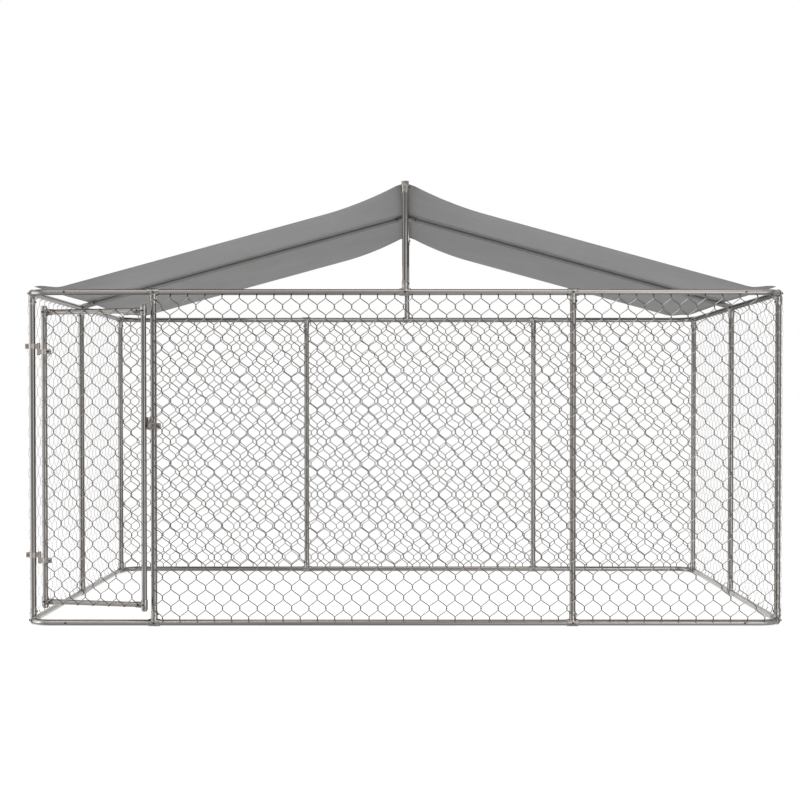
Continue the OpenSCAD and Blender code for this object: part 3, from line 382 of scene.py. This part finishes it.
def chainLinkTree(sizes):
    tree, given = sizedTree("chainLink", sizes)
    path = addNode(tree, "GeometryNodeMeshToCurve", given["path"])
    profile = addNode(tree, "GeometryNodeCurvePrimitiveCircle", sockets={
        "Resolution": weaveForm["wireSides"], "Radius": given["wireRadius"]})
    thin = addNode(tree, "GeometryNodeCurvePrimitiveCircle", sockets={
        "Resolution": weaveForm["wireSides"], "Radius": given["hookWire"]})
    rolled = addNode(tree, "ShaderNodeCombineXYZ", given["flat"], 1.0, 1.0)
    rolled = addNode(tree, "GeometryNodeTransform", profile, sockets={"Scale": rolled})
    # straight strands side by side
    step = addNode(tree, "ShaderNodeCombineXYZ", given["halfPitch"])
    row = addNode(tree, "GeometryNodeMeshLine", sockets={"Count": given["wires"], "Offset": step})
    low = addNode(tree, "ShaderNodeCombineXYZ", None, None, given["bottom"])
    high = addNode(tree, "ShaderNodeCombineXYZ", None, None, given["top"])
    line = addNode(tree, "GeometryNodeCurvePrimitiveLine", sockets={"Start": low, "End": high})
    count = addNode(tree, "ShaderNodeMath", given["halfWaves"], weaveForm["stepsPerHalfWave"], 1.0,
                    operation="MULTIPLY_ADD")
    line = addNode(tree, "GeometryNodeResampleCurve", line, sockets={"Count": count})
    strands = addNode(tree, "GeometryNodeInstanceOnPoints", row, sockets={"Instance": line})
    strands = addNode(tree, "GeometryNodeRealizeInstances", strands)
    # zigzag: each strand swings between its own column and the next
    spot = addNode(tree, "ShaderNodeSeparateXYZ", addNode(tree, "GeometryNodeInputPosition")).node.outputs
    column = addNode(tree, "ShaderNodeMath", spot[0], given["halfPitch"], operation="DIVIDE")
    column = addNode(tree, "ShaderNodeMath", column, operation="ROUND")
    column = addNode(tree, "ShaderNodeMath", column, given["firstWire"], operation="ADD")
    odd = addNode(tree, "ShaderNodeMath", column, 2.0, operation="MODULO")
    height = addNode(tree, "ShaderNodeMath", given["top"], given["bottom"], operation="SUBTRACT")
    rise = addNode(tree, "ShaderNodeMath", spot[2], given["bottom"], operation="SUBTRACT")
    share = addNode(tree, "ShaderNodeMath", rise, height, operation="DIVIDE")
    beat = addNode(tree, "ShaderNodeMath", share, given["halfWaves"], odd, operation="MULTIPLY_ADD")
    swing = addNode(tree, "ShaderNodeMath", beat, 1.0, operation="PINGPONG")
    rest = addNode(tree, "ShaderNodeMath", 1.0, given["knotShare"], operation="SUBTRACT")
    swing = addNode(tree, "ShaderNodeMapRange", swing, given["knotShare"], rest, 0.0, 1.0,
                    interpolation_type="SMOOTHSTEP")
    reach = addNode(tree, "ShaderNodeMath", given["halfPitch"], given["lap"], operation="ADD")
    side = addNode(tree, "ShaderNodeMath", swing, 0.5, operation="SUBTRACT")
    side = addNode(tree, "ShaderNodeMath", side, reach, spot[0], operation="MULTIPLY_ADD")
    side = addNode(tree, "ShaderNodeMath", given["halfPitch"], 0.5, side, operation="MULTIPLY_ADD")
    turn = addNode(tree, "ShaderNodeMath", beat, math.pi, operation="MULTIPLY")
    turn = addNode(tree, "ShaderNodeMath", turn, operation="SINE")
    proud = addNode(tree, "ShaderNodeMath", turn, given["depth"], operation="MULTIPLY")
    # hand-stretched look: knots wander together, ends stay on the rails
    length = addNode(tree, "ShaderNodeMath", given["wires"], given["halfPitch"], operation="MULTIPLY")
    ends = addNode(tree, "ShaderNodeMath", length, side, operation="SUBTRACT")
    ends = addNode(tree, "ShaderNodeMath", ends, side, operation="MINIMUM")
    ends = addNode(tree, "ShaderNodeMapRange", ends, 0.0, weaveForm["calmEdge"], 0.0, 1.0)
    eaves = addNode(tree, "ShaderNodeMath", height, rise, operation="SUBTRACT")
    eaves = addNode(tree, "ShaderNodeMath", eaves, rise, operation="MINIMUM")
    eaves = addNode(tree, "ShaderNodeMapRange", eaves, 0.0, weaveForm["calmEdge"], 0.0, 1.0)
    amount = addNode(tree, "ShaderNodeMath", ends, eaves, operation="MULTIPLY")
    amount = addNode(tree, "ShaderNodeMath", amount, given["jitter"], operation="MULTIPLY")
    where = addNode(tree, "ShaderNodeCombineXYZ", side, given["seed"], spot[2])
    noise = addNode(tree, "ShaderNodeTexNoise", out=1, sockets={
        "Vector": where, "Scale": weaveForm["wanderScale"], "Detail": 1.0})
    noise = addNode(tree, "ShaderNodeVectorMath", noise, (0.5, 0.5, 0.5), operation="SUBTRACT")
    noise = addNode(tree, "ShaderNodeVectorMath", noise, operation="SCALE", sockets={3: amount})
    shift = addNode(tree, "ShaderNodeVectorMath", noise, operation="SCALE", sockets={
        3: weaveForm["wanderGain"]})
    shift = addNode(tree, "ShaderNodeSeparateXYZ", shift).node.outputs
    side = addNode(tree, "ShaderNodeMath", side, shift[0], operation="ADD")
    lift = addNode(tree, "ShaderNodeMath", spot[2], shift[1], operation="ADD")
    # lay the flat net along the path
    sample = addNode(tree, "GeometryNodeSampleCurve", mode="LENGTH", sockets={
        "Curves": path, "Length": side}).node.outputs
    facing = addNode(tree, "ShaderNodeVectorMath", sample["Tangent"], (0, 0, 1), operation="CROSS_PRODUCT")
    strands = addNode(tree, "GeometryNodeStoreNamedAttribute", strands, data_type="FLOAT_VECTOR", sockets={
        "Name": "facing", "Value": facing})
    # painted light: strands of the chosen lie get a bright colour, the others dark
    lie = addNode(tree, "ShaderNodeMath", turn, given["paintedLightLie"], operation="MULTIPLY", use_clamp=True)
    strands = addNode(tree, "GeometryNodeStoreNamedAttribute", strands, sockets={"Name": "lie", "Value": lie})
    slim = addNode(tree, "ShaderNodeMapRange", lie, *weaveForm["slimRange"], 1.0, given["brightShare"])
    strands = addNode(tree, "GeometryNodeSetCurveRadius", strands, sockets={"Radius": slim})
    outward = addNode(tree, "ShaderNodeVectorMath", facing, operation="SCALE", sockets={3: proud})
    up = addNode(tree, "ShaderNodeCombineXYZ", None, None, lift)
    place = addNode(tree, "ShaderNodeVectorMath", sample["Position"], outward, operation="ADD")
    place = addNode(tree, "ShaderNodeVectorMath", place, up, operation="ADD")
    strands = addNode(tree, "GeometryNodeSetPosition", strands, sockets={"Position": place})
    facing = addNode(tree, "GeometryNodeInputNamedAttribute", "facing", data_type="FLOAT_VECTOR")
    strands = addNode(tree, "GeometryNodeSetCurveNormal", strands, mode="FREE", sockets={"Normal": facing})
    made = [addNode(tree, "GeometryNodeCurveToMesh", strands, rolled, sockets={"Fill Caps": True})]
    # two short strand ends bend over the rail at each knot of the first and last row
    for end in ("bottom", "top"):
        start = addNode(tree, "ShaderNodeMath", given["firstWire"],
                        given["halfWaves"] if end == "top" else 0.0, operation="ADD")
        start = addNode(tree, "ShaderNodeMath", start, 2.0, operation="MODULO")
        number = addNode(tree, "ShaderNodeMath", given["wires"], start, operation="SUBTRACT")
        number = addNode(tree, "ShaderNodeMath", number, 0.5, operation="MULTIPLY")
        number = addNode(tree, "ShaderNodeMath", number, operation="CEIL")
        start = addNode(tree, "ShaderNodeMath", start, given["halfPitch"], operation="MULTIPLY")
        start = addNode(tree, "ShaderNodeCombineXYZ", start)
        pitch = addNode(tree, "ShaderNodeMath", given["halfPitch"], 2.0, operation="MULTIPLY")
        pitch = addNode(tree, "ShaderNodeCombineXYZ", pitch)
        knots = addNode(tree, "GeometryNodeMeshLine", sockets={
            "Count": number, "Start Location": start, "Offset": pitch})
        along = addNode(tree, "ShaderNodeSeparateXYZ", addNode(tree, "GeometryNodeInputPosition"))
        sample = addNode(tree, "GeometryNodeSampleCurve", mode="LENGTH", sockets={
            "Curves": path, "Length": along}).node.outputs
        inset = addNode(tree, "ShaderNodeMath", given["railInset"], -1.0, operation="MULTIPLY")
        inward = addNode(tree, "ShaderNodeVectorMath", sample["Tangent"], (0, 0, 1), operation="CROSS_PRODUCT")
        inward = addNode(tree, "ShaderNodeVectorMath", inward, operation="SCALE", sockets={3: inset})
        up = addNode(tree, "ShaderNodeCombineXYZ", None, None, given[end + "Rail"])
        place = addNode(tree, "ShaderNodeVectorMath", sample["Position"], inward, operation="ADD")
        place = addNode(tree, "ShaderNodeVectorMath", place, up, operation="ADD")
        facing = addNode(tree, "FunctionNodeAlignRotationToVector", axis="X", pivot_axis="Z", sockets={
            "Vector": sample["Tangent"]})
        facing = addNode(tree, "GeometryNodeStoreNamedAttribute", knots, data_type="QUATERNION", sockets={
            "Name": "facing", "Value": facing})
        knots = addNode(tree, "GeometryNodeSetPosition", facing, sockets={"Position": place})
        facing = addNode(tree, "GeometryNodeInputNamedAttribute", "facing", data_type="QUATERNION")
        hook = addNode(tree, "GeometryNodeCurvePrimitiveLine", sockets={"Start": (0, 0, 0), "End": (1, 0, 0)})
        hook = addNode(tree, "GeometryNodeResampleCurve", hook, sockets={"Count": weaveForm["hookPoints"]})
        part = addNode(tree, "ShaderNodeSeparateXYZ", addNode(tree, "GeometryNodeInputPosition"))
        loose = addNode(tree, "ShaderNodeMapRange", part, 0.0, weaveForm["hookEase"], 1.0, 0.0)
        loose = addNode(tree, "ShaderNodeMath", loose, 2.0, operation="POWER")
        slack = addNode(tree, "ShaderNodeMath", given["startRadius"], given["hookRadius"], operation="SUBTRACT")
        radius = addNode(tree, "ShaderNodeMath", loose, slack, given["hookRadius"], operation="MULTIPLY_ADD")
        angle = addNode(tree, "ShaderNodeMath", part, given[end + "Sweep"], operation="MULTIPLY")
        angle = addNode(tree, "ShaderNodeMath", given[end + "Start"], angle, operation="SUBTRACT")
        angle = addNode(tree, "ShaderNodeMath", angle, operation="RADIANS")
        across = addNode(tree, "ShaderNodeMath", angle, operation="COSINE")
        across = addNode(tree, "ShaderNodeMath", across, radius, operation="MULTIPLY")
        across = addNode(tree, "ShaderNodeMath", across, -1.0, operation="MULTIPLY")
        level = addNode(tree, "ShaderNodeMath", angle, operation="SINE")
        level = addNode(tree, "ShaderNodeMath", level, radius, operation="MULTIPLY")
        bent = addNode(tree, "ShaderNodeCombineXYZ", given["hookWire"], across, level)
        hook = addNode(tree, "GeometryNodeSetPosition", hook, sockets={"Position": bent})
        other = addNode(tree, "GeometryNodeTransform", hook, sockets={"Scale": (-1, 1, 1)})
        pair = tree.nodes.new("GeometryNodeJoinGeometry")
        tree.links.new(hook, pair.inputs[0])
        tree.links.new(other, pair.inputs[0])
        hooks = addNode(tree, "GeometryNodeInstanceOnPoints", knots, sockets={
            "Instance": pair.outputs[0], "Rotation": facing})
        hooks = addNode(tree, "GeometryNodeRealizeInstances", hooks)
        # hook wire: a fixed share of painted light
        hooks = addNode(tree, "GeometryNodeStoreNamedAttribute", hooks, sockets={
            "Name": "lie", "Value": weaveForm["hookPaintedLight"]})
        made.append(addNode(tree, "GeometryNodeCurveToMesh", hooks, thin, sockets={"Fill Caps": True}))
    whole = tree.nodes.new("GeometryNodeJoinGeometry")
    for geometry in made:
        tree.links.new(geometry, whole.inputs[0])
    whole = addNode(tree, "GeometryNodeSetShadeSmooth", whole.outputs[0])
    whole = addNode(tree, "GeometryNodeRemoveAttribute", whole, sockets={"Name": "facing"})
    whole = addNode(tree, "GeometryNodeRealizeInstances", whole)
    whole = addNode(tree, "GeometryNodeSetMaterial", whole, sockets={"Material": given["wire"]})
    addNode(tree, "NodeGroupOutput", whole)
    return tree


# where the nets run, seen from above, in metres
netPlan = {
    "bendX": 1.869, "bendY": 1.019, "bendRadius": 0.1374, "bendSteps": 8, "frontY": -1.1564, "leftX": -2.0064,
    "doorPostX": -1.318, "hingePostY": -1.0367, "hingePin": (-1.945545, -1.050698),
    "leafEnds": (0.050, 0.578), "leafProud": 0.0184,
}
leafAngle = math.radians(leafTurn)


def bendArc(middle, first, last):  # net on the outside of a corner bend, between two directions in degrees
    radius, steps = netPlan["bendRadius"], netPlan["bendSteps"]
    turns = [math.radians(first + (last - first) * i / steps) for i in range(steps + 1)]
    return [(middle[0] + radius * math.cos(a), middle[1] + radius * math.sin(a), 0) for a in turns]


def onLeaf(reach, z=0.0, proud=0.0):  # a point of the door leaf, this far from its hinge pin and in front
    x = netPlan["hingePin"][0] + reach * math.cos(leafAngle) + proud * math.sin(leafAngle)
    y = netPlan["hingePin"][1] + reach * math.sin(leafAngle) - proud * math.cos(leafAngle)
    return (x, y, z)


rightFront = (netPlan["bendX"], -netPlan["bendY"])
rightRear = (netPlan["bendX"], netPlan["bendY"])
leftRear = (-netPlan["bendX"], netPlan["bendY"])
netPaths = {
    "frontNet": [(netPlan["doorPostX"], netPlan["frontY"], 0)] + bendArc(rightFront, -90, -45),
    "rightNet": bendArc(rightFront, -45, 0) + bendArc(rightRear, 0, 45),
    "rearNet": bendArc(rightRear, 45, 90) + bendArc(leftRear, 90, 135),
    "leftNet": bendArc(leftRear, 135, 180) + [(netPlan["leftX"], netPlan["hingePostY"], 0)],
    "doorNet": [onLeaf(reach, proud=netPlan["leafProud"]) for reach in netPlan["leafEnds"]],
}
sideWire = {"wireRadius": 0.0014, "flat": 0.3}  # looks as thin as in the photograph when seen edge on
# the right and rear nets have the other lie painted bright, as though lit from the upper left front
netParts = {
    "frontNet": {"wires": 73, "firstWire": 1, "nodes": ["front_net"], "body": "frame"},
    "rightNet": {"wires": 50, "firstWire": 74, "paintedLightLie": -1.0, **sideWire,
                 "nodes": ["right_net", "corner_nets"], "body": "frame"},
    "rearNet": {"wires": 88, "firstWire": 124, "paintedLightLie": -1.0, "nodes": ["rear_net"], "body": "frame"},
    "leftNet": {"wires": 48, "firstWire": 212, **sideWire, "nodes": ["left_net"], "body": "frame"},
    "doorNet": {
        "wires": 12, "firstWire": 0, "nodes": ["door_net"], "body": "door", "halfWaves": 29, "bottom": 0.1067,
        "top": 1.6678, "bottomRail": 0.1195, "topRail": 1.655, "railInset": 0.0184, "hookRadius": 0.0160,
        "startRadius": 0.0224, "bottomStart": -35.0, "bottomSweep": 12.0, "topStart": 35.0, "topSweep": -12.0,
        "jitter": 0.005, "depth": 0.0020},
}
chainLink = chainLinkTree(netSizes)
for number, (name, part) in enumerate(netParts.items(), 1):
    path = netPaths[name]
    span = sum(math.dist(a, b) for a, b in zip(path, path[1:]))
    sizes = {**netSizes, **{k: v for k, v in part.items() if k in netSizes}}
    sizes["halfPitch"] = span / part["wires"]
    sizes["seed"] = weaveForm["seedStep"] * number
    net = grownMesh(name, chainLink, sizes, [path])
    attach(net, part["body"])
    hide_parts(*part["nodes"])
print("nets woven")


# strand ends tied round the uprights where a net stops
loopSizes = {
    "loops": 14, "radius": 0.0179, "turns": 1.2, "lead": 0.014, "wireRadius": 0.0014, "wire": wireMaterial,
}
# the loops get a fixed share of painted light
loopForm = {"steps": 14, "lie": 0.45}


def tieLoopTree(sizes):
    tree, given = sizedTree("tieLoops", sizes)
    path = addNode(tree, "GeometryNodeMeshToCurve", given["path"])
    spots = addNode(tree, "GeometryNodeResampleCurve", path, sockets={"Count": given["loops"]})
    loop = addNode(tree, "GeometryNodeCurveSpiral", sockets={
        "Resolution": loopForm["steps"], "Rotations": given["turns"], "Start Radius": given["radius"],
        "End Radius": given["radius"], "Height": given["lead"]})
    loops = addNode(tree, "GeometryNodeInstanceOnPoints", spots, sockets={"Instance": loop})
    loops = addNode(tree, "GeometryNodeRealizeInstances", loops)
    loops = addNode(tree, "GeometryNodeStoreNamedAttribute", loops, sockets={
        "Name": "lie", "Value": loopForm["lie"]})
    profile = addNode(tree, "GeometryNodeCurvePrimitiveCircle", sockets={
        "Resolution": weaveForm["wireSides"], "Radius": given["wireRadius"]})
    loops = addNode(tree, "GeometryNodeCurveToMesh", loops, profile, sockets={"Fill Caps": True})
    loops = addNode(tree, "GeometryNodeSetShadeSmooth", loops)
    loops = addNode(tree, "GeometryNodeRealizeInstances", loops)
    loops = addNode(tree, "GeometryNodeSetMaterial", loops, sockets={"Material": given["wire"]})
    addNode(tree, "NodeGroupOutput", loops)
    return tree


def knotHeight(sizes, wave):  # height of a knot, this many waves above the bottom of a net
    return sizes["bottom"] + (sizes["top"] - sizes["bottom"]) / sizes["halfWaves"] * 2 * wave


tieLoops = tieLoopTree(loopSizes)
doorPost, stiles = (-1.320, -1.134), (0.033, 0.5961)  # middle of the post, and reach of the stiles on the leaf
loopRuns = {  # body, radius of a loop, first and last loop of each row, loops in a row
    "postLoops": ("frame", 0.0179, [
        [(*doorPost, knotHeight(netSizes, wave)) for wave in ends] for ends in ((2, 8), (9, 15))], 7),
    "stileLoops": ("door", 0.0158, [
        [onLeaf(reach, knotHeight(netParts["doorNet"], wave)) for wave in (2, 12)] for reach in stiles], 11),
}
for name, (body, radius, paths, loops) in loopRuns.items():
    ties = grownMesh(name, tieLoops, {**loopSizes, "radius": radius, "loops": loops}, paths)
    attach(ties, body)
print("net ends tied")


# one cloth over the ridge, taut on ridge and rafters, hanging in a shallow curve at the open gables
clothForm = {
    "halfWidth": 1.950, "halfLength": 1.110, "crest": 2.32473, "slope": 0.27369, "ridgeRound": 0.008,
    "sag": 0.048, "sagStarts": 0.042, "sagFull": 0.425, "hemStrip": 0.150, "hemSag": 0.17,
    "foldHeight": 0.0035, "foldStarts": 0.25, "foldFades": 0.7, "foldTwist": 0.8,
    "hem": 0.040, "thick": 0.0016, "panelShare": 0.5, "cells": (156, 90),
}
clothFinish = {
    "dark": "#898989", "light": "#949494", "thread": 0.006, "threadShare": 0.25, "waver": 0.6, "fade": 0.35,
    "shadeRange": (0.3, 0.85), "weaveBump": (0.3, 0.0006), "roughness": 0.82, "sheen": 0.15,
}
waveRepeat = 0.314  # metres from band to band of a wave texture of scale 1


def smooth(t):
    t = min(1.0, max(0.0, t))
    return t * t * (3 - 2 * t)


def clothHeight(x, y):
    form = clothForm
    reach, side = abs(x), abs(y) / form["halfLength"]
    fall = math.hypot(reach, form["ridgeRound"]) - form["ridgeRound"]
    level = min(1.0, max(0.0, (reach - form["sagStarts"]) / (form["sagFull"] - form["sagStarts"])))
    rim = smooth((form["halfWidth"] - reach) / form["hemStrip"])
    hang = (1 - (1 - level) ** 2) * (form["hemSag"] + (1 - form["hemSag"]) * rim)
    z = form["crest"] - form["slope"] * fall - form["sag"] * hang * (1 - (1 - side) ** 2)
    # slack folds that run in from the ridge ends and the eaves corners
    for cornerX, folds, lean in ((0.0, 9, 0.4), (form["halfWidth"], 7, 1.1)):
        dx, dy = reach - cornerX, abs(y) - form["halfLength"]
        far = math.hypot(dx, dy)
        turn = folds * math.atan2(dy, dx) * 2 + lean + form["foldTwist"] * math.copysign(1, x)
        fold = 0.5 - 0.5 * math.cos(turn)
        fade = smooth(far / form["foldStarts"]) * math.exp(-far / form["foldFades"])
        z += form["foldHeight"] * fold * fade * hang
    return z


def wovenCanopyCloth(name):  # plain-woven polyester: matt, even grey, a faint grid of threads
    material, tree = newMaterial(name)
    weaveUv = addNode(tree, "ShaderNodeUVMap", uv_map="threads")
    # real threads lie about 0.6 mm apart, drawn ten times as coarse to show
    bands = []
    for direction in ("X", "Y"):
        bands.append(addNode(tree, "ShaderNodeTexWave", bands_direction=direction, sockets={
            "Vector": weaveUv, "Scale": waveRepeat / clothFinish["thread"], "Distortion": clothFinish["waver"],
            "Detail": 1.0}))
    weave = addNode(tree, "ShaderNodeMath", bands[0], bands[1], operation="MULTIPLY")
    fade = addNode(tree, "ShaderNodeTexNoise", sockets={
        "Vector": weaveUv, "Scale": 1 / clothFinish["fade"], "Detail": 4.0, "Roughness": 0.6})
    shade = addNode(tree, "ShaderNodeMath", weave, clothFinish["threadShare"], fade, operation="MULTIPLY_ADD")
    shade = addNode(tree, "ShaderNodeMapRange", shade, *clothFinish["shadeRange"], 0.0, 1.0)
    colour = addNode(tree, "ShaderNodeMix", shade, data_type="RGBA", out=2, sockets={
        6: hexColour(clothFinish["dark"]), 7: hexColour(clothFinish["light"])})
    strength, depth = clothFinish["weaveBump"]
    bump = addNode(tree, "ShaderNodeBump", sockets={"Strength": strength, "Distance": depth, "Height": weave})
    shader = addNode(tree, "ShaderNodeBsdfPrincipled", sockets={
        "Base Color": colour, "Roughness": clothFinish["roughness"], "Normal": bump,
        "Sheen Weight": clothFinish["sheen"]})
    addNode(tree, "ShaderNodeOutputMaterial", shader)
    return material


columns, rows = clothForm["cells"]
clothPoints, clothFaces = [], []
for j in range(rows + 1):
    for i in range(columns + 1):
        x = clothForm["halfWidth"] * (2 * i / columns - 1)
        y = clothForm["halfLength"] * (2 * j / rows - 1)
        clothPoints.append((x, y, clothHeight(x, y)))
for j in range(rows):
    for i in range(columns):
        a = j * (columns + 1) + i
        clothFaces.append((a, a + 1, a + columns + 2, a + columns + 1))
clothMesh = bpy.data.meshes.new("canopyCloth")
clothMesh.from_pydata(clothPoints, [], clothFaces)
threads = clothMesh.uv_layers.new(name="threads")
for corner in clothMesh.loops:
    threads.data[corner.index].uv = clothPoints[corner.vertex_index][:2]
clothMesh.shade_smooth()
clothMesh.materials.append(wovenCanopyCloth("wovenCanopyCloth"))
canopy = bpy.data.objects.new("canopyCloth", clothMesh)
bpy.context.scene.collection.objects.link(canopy)
hemGroup = canopy.vertex_groups.new(name="hem")
for index, (x, y, z) in enumerate(clothPoints):
    inside = min(clothForm["halfWidth"] - abs(x), clothForm["halfLength"] - abs(y)) > clothForm["hem"]
    hemGroup.add([index], clothForm["panelShare"] if inside else 1.0, "REPLACE")
thicken = canopy.modifiers.new("clothThickness", "SOLIDIFY")
thicken.thickness = clothForm["thick"]
thicken.offset = 1.0
thicken.vertex_group = "hem"
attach(canopy, "frame")
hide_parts("canopy_left", "canopy_right")
